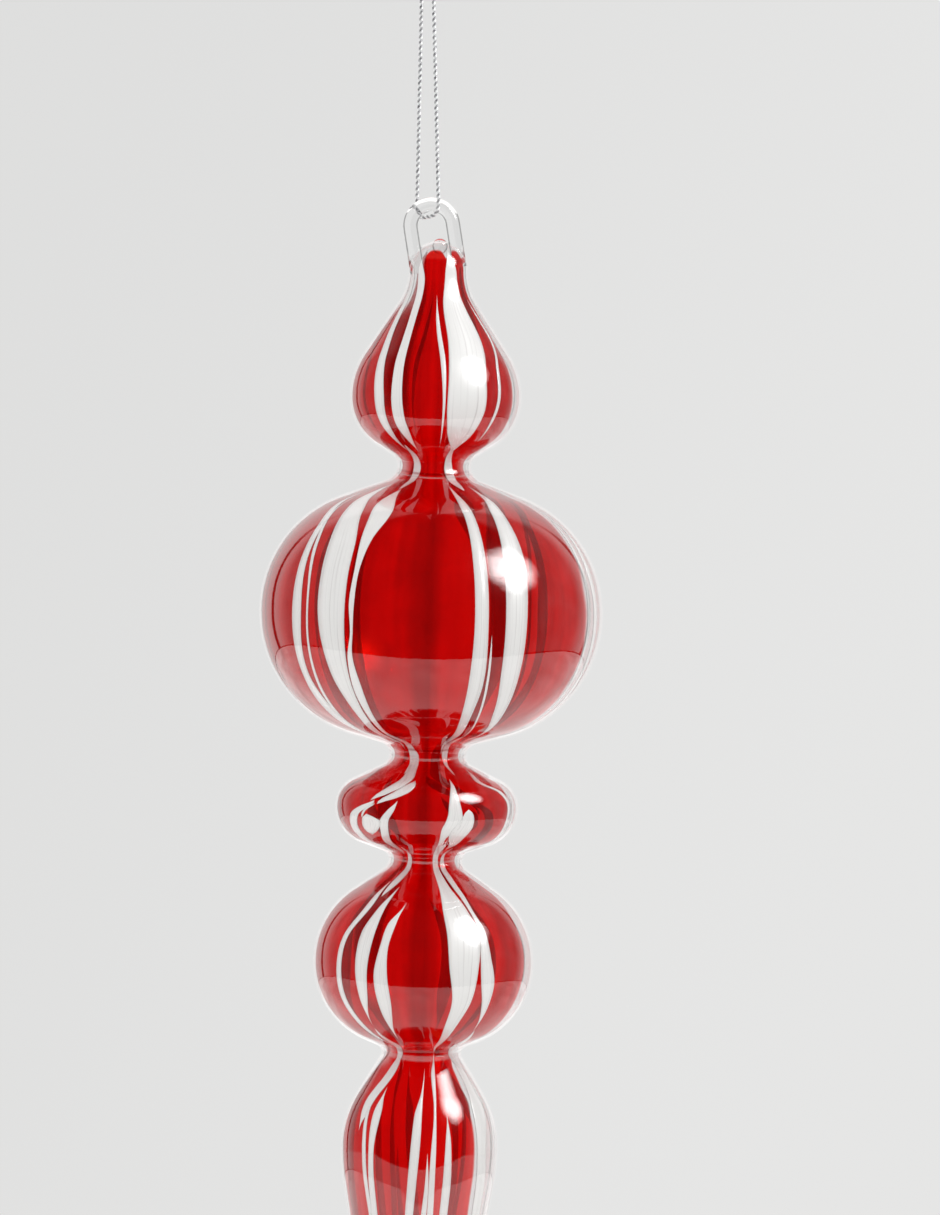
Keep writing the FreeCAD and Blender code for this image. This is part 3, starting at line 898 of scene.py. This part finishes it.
@dataclass
class GlassBody:
    """The blown glass: clear casing, red layer, white canes and the clear eye. Lengths in mm, angles in degrees."""

    gores: int = 160
    cane_depth: float = 0.30
    cane_thickness: float = 0.08
    cane_row: float = 0.6
    cane_column: float = 3.0
    back_turn: float = 190.0
    red_depth: float = 0.46
    rod: float = 1.5
    half_width: float = 4.35
    leg: float = 9.2
    leg_rings: int = 8
    lean: float = 10.0
    drop: float = 1.6
    drop_place: Place = (0.2, 0.0, 4.9)
    # Darker, pinker white of the canes' inside faces: painted shade.
    shaded_inside_white: Colour = (0.70, 0.62, 0.62)
    shaded_inside_streak: Colour = (0.55, 0.48, 0.48)

    def casing(self, outline: GlassOutline) -> Object:
        """Clear outer skin."""
        mesh = turned(outline.points(), self.gores)
        return finish_piece("glass_casing", mesh, [ClearCasing().make()])

    def red_layer(self, outline: GlassOutline) -> Object:
        """Red layer under the casing."""
        mesh = turned(outline.points(self.red_depth), self.gores)
        return finish_piece("red_layer", mesh, [RubyGlass().make()])

    def outward(self, face: BMFace) -> float:
        """How far a face looks away from the glass axis, from -1 to 1."""
        away = (face.calc_center_median() - GLASS_MIDDLE) * Vector((1.0, 1.0, 0.0))
        return face.normal.dot(away.normalized())

    def lay_cane(self, cane: Cane, line: list[Point], outline: GlassOutline, side: CaneSide) -> BMesh:
        """Lays one cane on the inside of the casing.

        Args:
            cane: its rows.
            line: outline that it follows.
            outline: gives the radius at each height.
            side: of the glass that it lies on.

        Returns:
            The cane as a thin closed slab, with its inner faces in the next material.
        """
        top, bottom = cane.rows[0][0], cane.rows[-1][0]
        widest = max(right - left for _, left, right in cane.rows)
        columns = max(2, round(widest / self.cane_column))
        rows = max(6, round((top - bottom) / self.cane_row))
        turn = side.value * self.back_turn
        LOG.debug("%s on the %s: %d by %d faces", cane.name, side.name, columns, rows)
        mesh = bmesh.new()
        mesh.loops.layers.uv.new("UVMap")
        bmesh.ops.create_grid(mesh, x_segments=columns, y_segments=rows, size=1.0, calc_uvs=True)
        for vert in mesh.verts:
            across, down = (vert.co.x + 1) / 2, (1 - vert.co.y) / 2
            height = top + (bottom - top) * down
            left, right = cane.edges_at(height)
            angle = math.radians(left + (right - left) * across + turn)
            radius = outline.radius_at(height, line)
            spot = (GLASS_AXIS + radius * math.sin(angle), -radius * math.cos(angle), height)
            vert.co = Vector(spot) * MM
        bmesh.ops.remove_doubles(mesh, verts=mesh.verts, dist=1e-7)
        bmesh.ops.recalc_face_normals(mesh, faces=mesh.faces)
        mesh.faces.ensure_lookup_table()
        if self.outward(mesh.faces[len(mesh.faces) // 2]) < 0:
            bmesh.ops.reverse_faces(mesh, faces=mesh.faces)
        bmesh.ops.solidify(mesh, geom=mesh.faces, thickness=self.cane_thickness * MM)
        for face in mesh.faces:
            face.material_index = 2 * side.value + int(self.outward(face) < -0.2)
        return mesh

    def canes(self, outline: GlassOutline) -> Object:
        """All white canes, those of the back turned from those of the front.

        Args:
            outline: of the glass.

        Returns:
            The canes as one piece.
        """
        line = outline.points(self.cane_depth)
        whole = bmesh.new()
        for side in CaneSide:
            for cane in ONION_CANES + GLOBE_CANES + DISC_CANES + BALL_CANES + SPIRE_CANES + NECK_CANES:
                add_to(whole, self.lay_cane(cane, line, outline, side))
        # The inside faces get a darker copy of the white: painted shade.
        finishes = [
            WhiteCane("near_cane", 0.03),
            WhiteCane("near_cane_shaded_inside", 0.03, self.shaded_inside_white, self.shaded_inside_streak),
            WhiteCane("far_cane", 0.16),
            WhiteCane("far_cane_shaded_inside", 0.16, self.shaded_inside_white, self.shaded_inside_streak),
        ]
        return finish_piece("white_canes", whole, [finish.make() for finish in finishes])

    def draw_out(self, mesh: BMesh, edges: list[BMEdge], way: Vector) -> list[BMEdge]:
        """Draws an open end of the rod out by one leg, ring by ring.

        Args:
            mesh: of the rod.
            edges: of its open end.
            way: length and direction of the leg, in mm.

        Returns:
            The edges of the new end.
        """
        for _ in range(self.leg_rings):
            grown = bmesh.ops.extrude_edge_only(mesh, edges=edges)["geom"]
            verts = [item for item in grown if isinstance(item, BMVert)]
            edges = [item for item in grown if isinstance(item, BMEdge)]
            bmesh.ops.translate(mesh, verts=verts, vec=way / self.leg_rings * MM)
        return edges

    def eye(self, outline: GlassOutline) -> Object:
        """Clear rod of the eye: a half turn and two legs that run into the crown, with the drop that seals it.

        Args:
            outline: of the glass.

        Returns:
            The eye as one piece.
        """
        lean = math.radians(self.lean)
        across = Vector((math.cos(lean), 0.0, math.sin(lean)))
        along = Vector((-math.sin(lean), 0.0, math.cos(lean)))
        root = Vector((GLASS_AXIS, 0.0, outline.crown_height))
        side = Matrix((across, Vector((0.0, 1.0, 0.0)), along)).transposed()
        foot = Matrix.Translation((root + across * self.half_width) * MM) @ side.to_4x4()
        mesh = bmesh.new()
        ring = bmesh.ops.create_circle(mesh, segments=24, radius=self.rod * MM, matrix=foot)["verts"]
        edges = list({edge for vert in ring for edge in vert.link_edges})
        edges = self.draw_out(mesh, edges, along * self.leg)
        verts = list({vert for edge in edges for vert in edge.verts})
        bend = (root + along * self.leg) * MM
        swept = bmesh.ops.spin(
            mesh, geom=verts + edges, cent=bend, axis=(0, -1, 0), angle=math.pi, steps=36, use_merge=False
        )["geom_last"]
        edges = [item for item in swept if isinstance(item, BMEdge)]
        self.draw_out(mesh, edges, along * -self.leg)
        bmesh.ops.remove_doubles(mesh, verts=mesh.verts, dist=1e-7)
        bmesh.ops.holes_fill(mesh, edges=mesh.edges, sides=0)
        seal = Matrix.Translation((root + Vector(self.drop_place)) * MM)
        bmesh.ops.create_uvsphere(mesh, u_segments=24, v_segments=14, radius=self.drop * MM, matrix=seal)
        bmesh.ops.recalc_face_normals(mesh, faces=mesh.faces)
        return finish_piece("glass_eye", mesh, [ClearRod().make()])

    def build(self) -> list[Object]:
        """Makes every piece of the glass.

        Returns:
            The four pieces.
        """
        outline = GlassOutline()
        pieces = [self.casing(outline), self.red_layer(outline), self.canes(outline), self.eye(outline)]
        for piece in pieces:
            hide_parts("glass_body")
        return pieces


@dataclass
class HangingCord:
    """Loop of two twisted metallic threads, with its knot and tails above the hanging point.

    Lengths in mm. tail_shape holds shares of a tail's reach aside and of its length, point by point.
    """

    route: Route = (
        (-0.37, 0.34, 0.67),
        (-0.41, 2.03, -74.9),
        (-0.42, 2.14, -80.50),
        (0.47, 1.33, -81.52),
        (1.87, 0.03, -81.22),
        (2.84, -0.88, -81.12),
        (4.08, -2.03, -79.95),
        (3.82, -1.91, -74.9),
        (0.37, -0.34, 0.67),
    )
    diameter: float = 0.8
    length: float = 168.4
    twist: float = 1.2
    steps_a_twist: int = 12
    ply_overlap: float = 1.06
    knot_centre: float = 1.9
    knot_size: float = 0.42
    knot_steps: int = 48
    tail: float = 6.3
    tail_lean: float = 24.0
    tail_way: Point = (0.733, 0.68)
    tail_shape: tuple[Point, ...] = ((0.0, 0.0), (0.35, 0.5), (1.0, 0.93))

    def made_from(self, data: Curve) -> Mesh:
        """Turns a scratch curve into a mesh, and removes the curve.

        Args:
            data: the curve.

        Returns:
            Its mesh.
        """
        holder = bpy.data.objects.new(data.name, data)
        bpy.context.collection.objects.link(holder)
        bpy.context.view_layer.update()
        mesh = bpy.data.meshes.new_from_object(holder)
        bpy.data.objects.remove(holder)
        bpy.data.curves.remove(data)
        return mesh

    def spline_points(self, points: Route, name: str) -> list[Vector]:
        """Points read along the smooth line through a route.

        Args:
            points: control points in mm.
            name: of the scratch curve.

        Returns:
            Close points in metres.
        """
        data = bpy.data.curves.new(name, "CURVE")
        data.dimensions = "3D"
        data.resolution_u = 48
        spline = data.splines.new("NURBS")
        spline.points.add(len(points) - 1)
        for place, point in zip(spline.points, points):
            place.co = (*(value * MM for value in point), 1.0)
        spline.order_u = 3
        spline.use_endpoint_u = True
        mesh = self.made_from(data)
        found = [vert.co.copy() for vert in mesh.vertices]
        bpy.data.meshes.remove(mesh)
        return found

    def evenly(self, line: list[Vector], step: float) -> list[Vector]:
        """Points spread evenly along a line.

        Args:
            line: points to follow.
            step: distance between the new points, in metres.

        Returns:
            The new points.
        """
        spread = [line[0].copy()]
        left = step
        for start, end in zip(line, line[1:]):
            run = (end - start).length
            walked = 0.0
            while run - walked >= left:
                walked += left
                spread.append(start.lerp(end, walked / run))
                left = step
            left -= run - walked
        if (spread[-1] - line[-1]).length > step * 0.2:
            spread.append(line[-1].copy())
        return spread

    def wind(self, spread: list[Vector], start: float) -> list[Vector]:
        """Centre line of one ply.

        Args:
            spread: even points of the cord's centre line.
            start: angle at which the ply starts round it.

        Returns:
            The ply's points.
        """
        facing = (spread[1] - spread[0]).normalized().orthogonal().normalized()
        wound = []
        for order, point in enumerate(spread):
            ahead = spread[min(order + 1, len(spread) - 1)] - spread[max(order - 1, 0)]
            ahead.normalize()
            facing = (facing - ahead * facing.dot(ahead)).normalized()
            angle = 2 * math.pi * order / self.steps_a_twist + start
            way = facing * math.cos(angle) + ahead.cross(facing) * math.sin(angle)
            wound.append(point + way * (self.diameter * MM / 4))
        return wound

    def strands(self, line: list[Vector], name: str) -> BMesh:
        """Two threads wound round a line.

        Args:
            line: points of the centre line, in metres.
            name: of the scratch curve.

        Returns:
            Both threads as closed tubes, the second in the second material.
        """
        spread = self.evenly(line, self.twist * MM / self.steps_a_twist)
        data = bpy.data.curves.new(name, "CURVE")
        data.dimensions = "3D"
        data.bevel_depth = self.diameter * MM / 4 * self.ply_overlap
        data.bevel_resolution = 1
        data.use_fill_caps = True
        for start in (0.0, math.pi):
            spline = data.splines.new("POLY")
            spline.points.add(len(spread) - 1)
            for place, point in zip(spline.points, self.wind(spread, start)):
                place.co = (*point, 1.0)
        made = self.made_from(data)
        mesh = bmesh.new()
        mesh.from_mesh(made)
        bpy.data.meshes.remove(made)
        bmesh.ops.remove_doubles(mesh, verts=mesh.verts, dist=1e-7)
        bmesh.ops.recalc_face_normals(mesh, faces=mesh.faces)
        mesh.faces.ensure_lookup_table()
        for face in mesh.faces:
            face.material_index = int(face.index >= len(mesh.faces) / 2)
        return mesh

    def knot(self, materials: list[Material]) -> Object:
        """Overhand knot of the twisted cord with two short tails.

        Args:
            materials: of the two threads.

        Returns:
            The knot as one piece.
        """
        loop, middle = [], Vector((0.0, 0.0, self.knot_centre))
        for order in range(self.knot_steps + 1):
            turn = 2 * math.pi * order / self.knot_steps
            x, z = math.sin(turn) + 2 * math.sin(2 * turn), math.cos(turn) - 2 * math.cos(2 * turn)
            loop.append((Vector((x, -math.sin(3 * turn), z)) * self.knot_size + middle) * MM)
        whole = self.strands(loop, "knot_line")
        reach = self.tail * math.sin(math.radians(self.tail_lean))
        for sign in (-1, 1):
            x, y = sign * reach * self.tail_way[0], -sign * reach * self.tail_way[1]
            route = tuple((x * out, y * out, self.knot_centre + self.tail * up) for out, up in self.tail_shape)
            add_to(whole, self.strands(self.spline_points(route, "tail_route"), "tail_line"))
        piece = finish_piece("twisted_knot", whole, materials)
        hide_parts("cord_knot")
        return piece

    def build(self) -> list[Object]:
        """Returns:
            Both pieces.
        """
        bright = SilverThread("bright_thread", (0.90, 0.90, 0.91), (1.0, 1.0, 1.0), 0.25)
        dull = SilverThread("dull_thread", (0.20, 0.20, 0.21), (0.60, 0.60, 0.61), 0.5)
        materials = [bright.make(), dull.make()]
        knot = self.knot(materials)
        line = self.spline_points(self.route, "cord_route")
        cord = finish_piece("twisted_cord", self.strands(line, "cord_line"), materials)
        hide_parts("hanging_cord")
        return [cord, knot]


@dataclass
class Studio:
    """Camera, lamps, pale surroundings and the round pale floor well below the tip.

    Lengths in mm, angles in degrees. frame_height is what the picture's height spans at the ornament.
    """

    target: Place = (12.27, 0.0, -160.97)
    roll: float = 1.27
    rise: float = 1.0
    distance: float = 2500.0
    frame_height: float = 248.7
    sensor: float = 24.0
    backdrop_left: Colour = (0.735, 0.735, 0.73)
    backdrop_right: Colour = (0.79, 0.79, 0.785)
    floor_height: float = -409.0
    floor_centre: float = 395.0
    floor_radius: float = 722.0
    floor_shine: float = 1.85
    card_distance: float = 1100.0

    def camera(self) -> None:
        """Long lens level with the globe, rolled by the lean of the hanging ornament."""
        data = bpy.data.cameras.new("camera")
        data.sensor_fit = "VERTICAL"
        data.sensor_height = self.sensor
        data.lens = self.sensor * self.distance / self.frame_height
        data.clip_end = 20.0
        lean, rise = math.radians(self.roll), math.radians(self.rise)
        back = Vector((0.0, -math.cos(rise), math.sin(rise)))
        right = Vector((math.cos(lean), 0.0, math.sin(lean)))
        up = back.cross(right).normalized()
        right = up.cross(back)
        turn = Matrix((right, up, back)).transposed().to_4x4()
        camera = bpy.data.objects.new("camera", data)
        camera.matrix_world = Matrix.Translation((Vector(self.target) + back * self.distance) * MM) @ turn
        bpy.context.collection.objects.link(camera)
        bpy.context.scene.camera = camera

    def surroundings(self) -> None:
        """World: the pale backdrop as seen, an even soft light, and what the glass mirrors and bends.

        around is the angle from the front: in reflections the room is dark in front and bright beside and
        behind the ornament, with a dark gap far round.
        """
        world = bpy.data.worlds.new("studio")
        world.use_nodes = True
        bpy.context.scene.world = world
        recipe = Recipe(world.node_tree)
        path = recipe.node("LightPath")
        direction = recipe.node("TexCoord").outputs["Generated"]
        x, y, z = recipe.axes(direction)
        around = x.degrees_from(z.most(0.0) * 0.35 - y).away_from(0.0)
        walls, far = around.step(62.0, 84.0), around.step(112.0, 130.0)
        gap = around.between((130.5, 132.5), (135.0, 137.0)) * (1 - z.step(0.35, 0.75))
        cloud = recipe.noise(direction, 3.2, 2.0)
        shine = walls * (1 - gap) * ((0.12 + cloud * 0.56) * (1 - far) + far * 0.95)
        room = recipe.tint(shine, (0.012, 0.011, 0.011), (1.0, 0.98, 0.97))
        lit = recipe.tint(recipe.number(path, "Is Glossy Ray"), (0.90, 0.90, 0.90), room)
        backdrop = recipe.tint((x * 0.9 - z * 0.35).step(-0.05, 0.05), self.backdrop_left, self.backdrop_right)
        bent = recipe.tint(around.between((95.0, 105.0), (130.0, 145.0)), backdrop, (0.22, 0.22, 0.22))
        colour = recipe.tint(recipe.number(path, "Is Camera Ray"), lit, backdrop)
        colour = recipe.tint(recipe.number(path, "Is Transmission Ray"), colour, bent)
        recipe.finish(recipe.node("Background", Color=colour, Strength=1.0), "OutputWorld")

    def floor(self) -> None:
        """Round pale floor, brighter in reflections."""
        material, recipe = new_material("pale_floor")
        place = recipe.place()
        x, y, _ = recipe.axes(place)
        y = y - self.floor_centre * MM
        edge = self.floor_radius - 23.0
        rim = 1 - ((x * x + y * y) ** 0.5).step(edge * MM, (edge + 5.0) * MM)
        cloud = recipe.noise(place, 7.0, 2.0)
        sheen = recipe.tint(rim * (0.3 + cloud * 0.7), (0.0, 0.0, 0.0), (1.0, 0.99, 0.98))
        bright = recipe.node("Emission", Color=sheen, Strength=self.floor_shine)
        plain = recipe.node("BsdfDiffuse", Color=(0.80, 0.80, 0.79))
        mirrored = recipe.number(recipe.node("LightPath"), "Is Glossy Ray")
        recipe.finish(recipe.blend(mirrored, plain, bright))
        mesh = bmesh.new()
        spot = Matrix.Translation((0.0, self.floor_centre * MM, self.floor_height * MM))
        bmesh.ops.create_circle(mesh, cap_ends=True, segments=96, radius=self.floor_radius * MM, matrix=spot)
        floor = new_object("pale_floor", mesh, [material])

    def card(self, name: str, azimuth: float, rise: float, size: float, shine: float) -> None:
        """Bright card with soft edges that only reflections show.

        Args:
            name: of the card.
            azimuth: from the front, positive to the right, in degrees.
            rise: above the horizon, in degrees.
            size: width in mm.
            shine: strength at its middle.
        """
        material, recipe = new_material(name)
        across, down, _ = recipe.axes(recipe.node("UVMap", {"uv_map": "UVMap"}).outputs[0])
        across, down = across - 0.5, down - 0.5
        ripple = recipe.noise(recipe.place(), 6.0, 2.0)
        distance = (across * across + down * down) ** 0.5 + (ripple - 0.5) * 0.16
        glow = recipe.tint(distance.step(0.12, 0.48), (1.0, 1.0, 1.0), (0.0, 0.0, 0.0))
        light = recipe.node("Emission", Color=glow, Strength=shine)
        recipe.finish(recipe.blend(1 - distance.step(0.40, 0.49), recipe.see_through((1.0, 1.0, 1.0)), light))
        around, up = math.radians(azimuth), math.radians(rise)
        way = Vector((math.sin(around) * math.cos(up), -math.cos(around) * math.cos(up), math.sin(up)))
        turn = way.to_track_quat("Z", "Y").to_matrix().to_4x4()
        spot = Matrix.Translation(GLASS_MIDDLE + way * self.card_distance * MM) @ turn
        mesh = bmesh.new()
        mesh.loops.layers.uv.new("UVMap")
        bmesh.ops.create_grid(mesh, x_segments=1, y_segments=1, size=size * MM / 2, matrix=spot, calc_uvs=True)
        card = new_object(name, mesh, [material])
        card.visible_camera = card.visible_diffuse = card.visible_transmission = card.visible_shadow = False

    def lamp(self, name: str, place: Place, size: float, power: float) -> None:
        """Soft lamp that points at the globe.

        Args:
            name: of the lamp.
            place: in mm.
            size: width in mm.
            power: in watts.
        """
        data = bpy.data.lights.new(name, "AREA")
        data.size = size * MM
        data.energy = power
        lamp = bpy.data.objects.new(name, data)
        lamp.location = Vector(place) * MM
        lamp.rotation_euler = (GLASS_MIDDLE - lamp.location).to_track_quat("-Z", "Y").to_euler()
        lamp.visible_glossy = False
        bpy.context.collection.objects.link(lamp)

    def build(self) -> None:
        """Sets up everything round the ornament."""
        self.surroundings()
        self.floor()
        self.card("front_card", 65.0, 37.0, 900.0, 21.0)
        self.lamp("key", (700.0, -600.0, 500.0), 700.0, 3.0)
        self.lamp("fill", (-800.0, -700.0, 100.0), 900.0, 1.5)


def main() -> None:
    """Builds the studio and the ornament."""
    bpy.context.scene.view_settings.view_transform = "Standard"
    studio = Studio()
    studio.camera()
    for piece in HangingCord().build() + GlassBody().build():
        LOG.info("made %s", piece.name)
    studio.build()


if __name__ == "__main__":
    main()
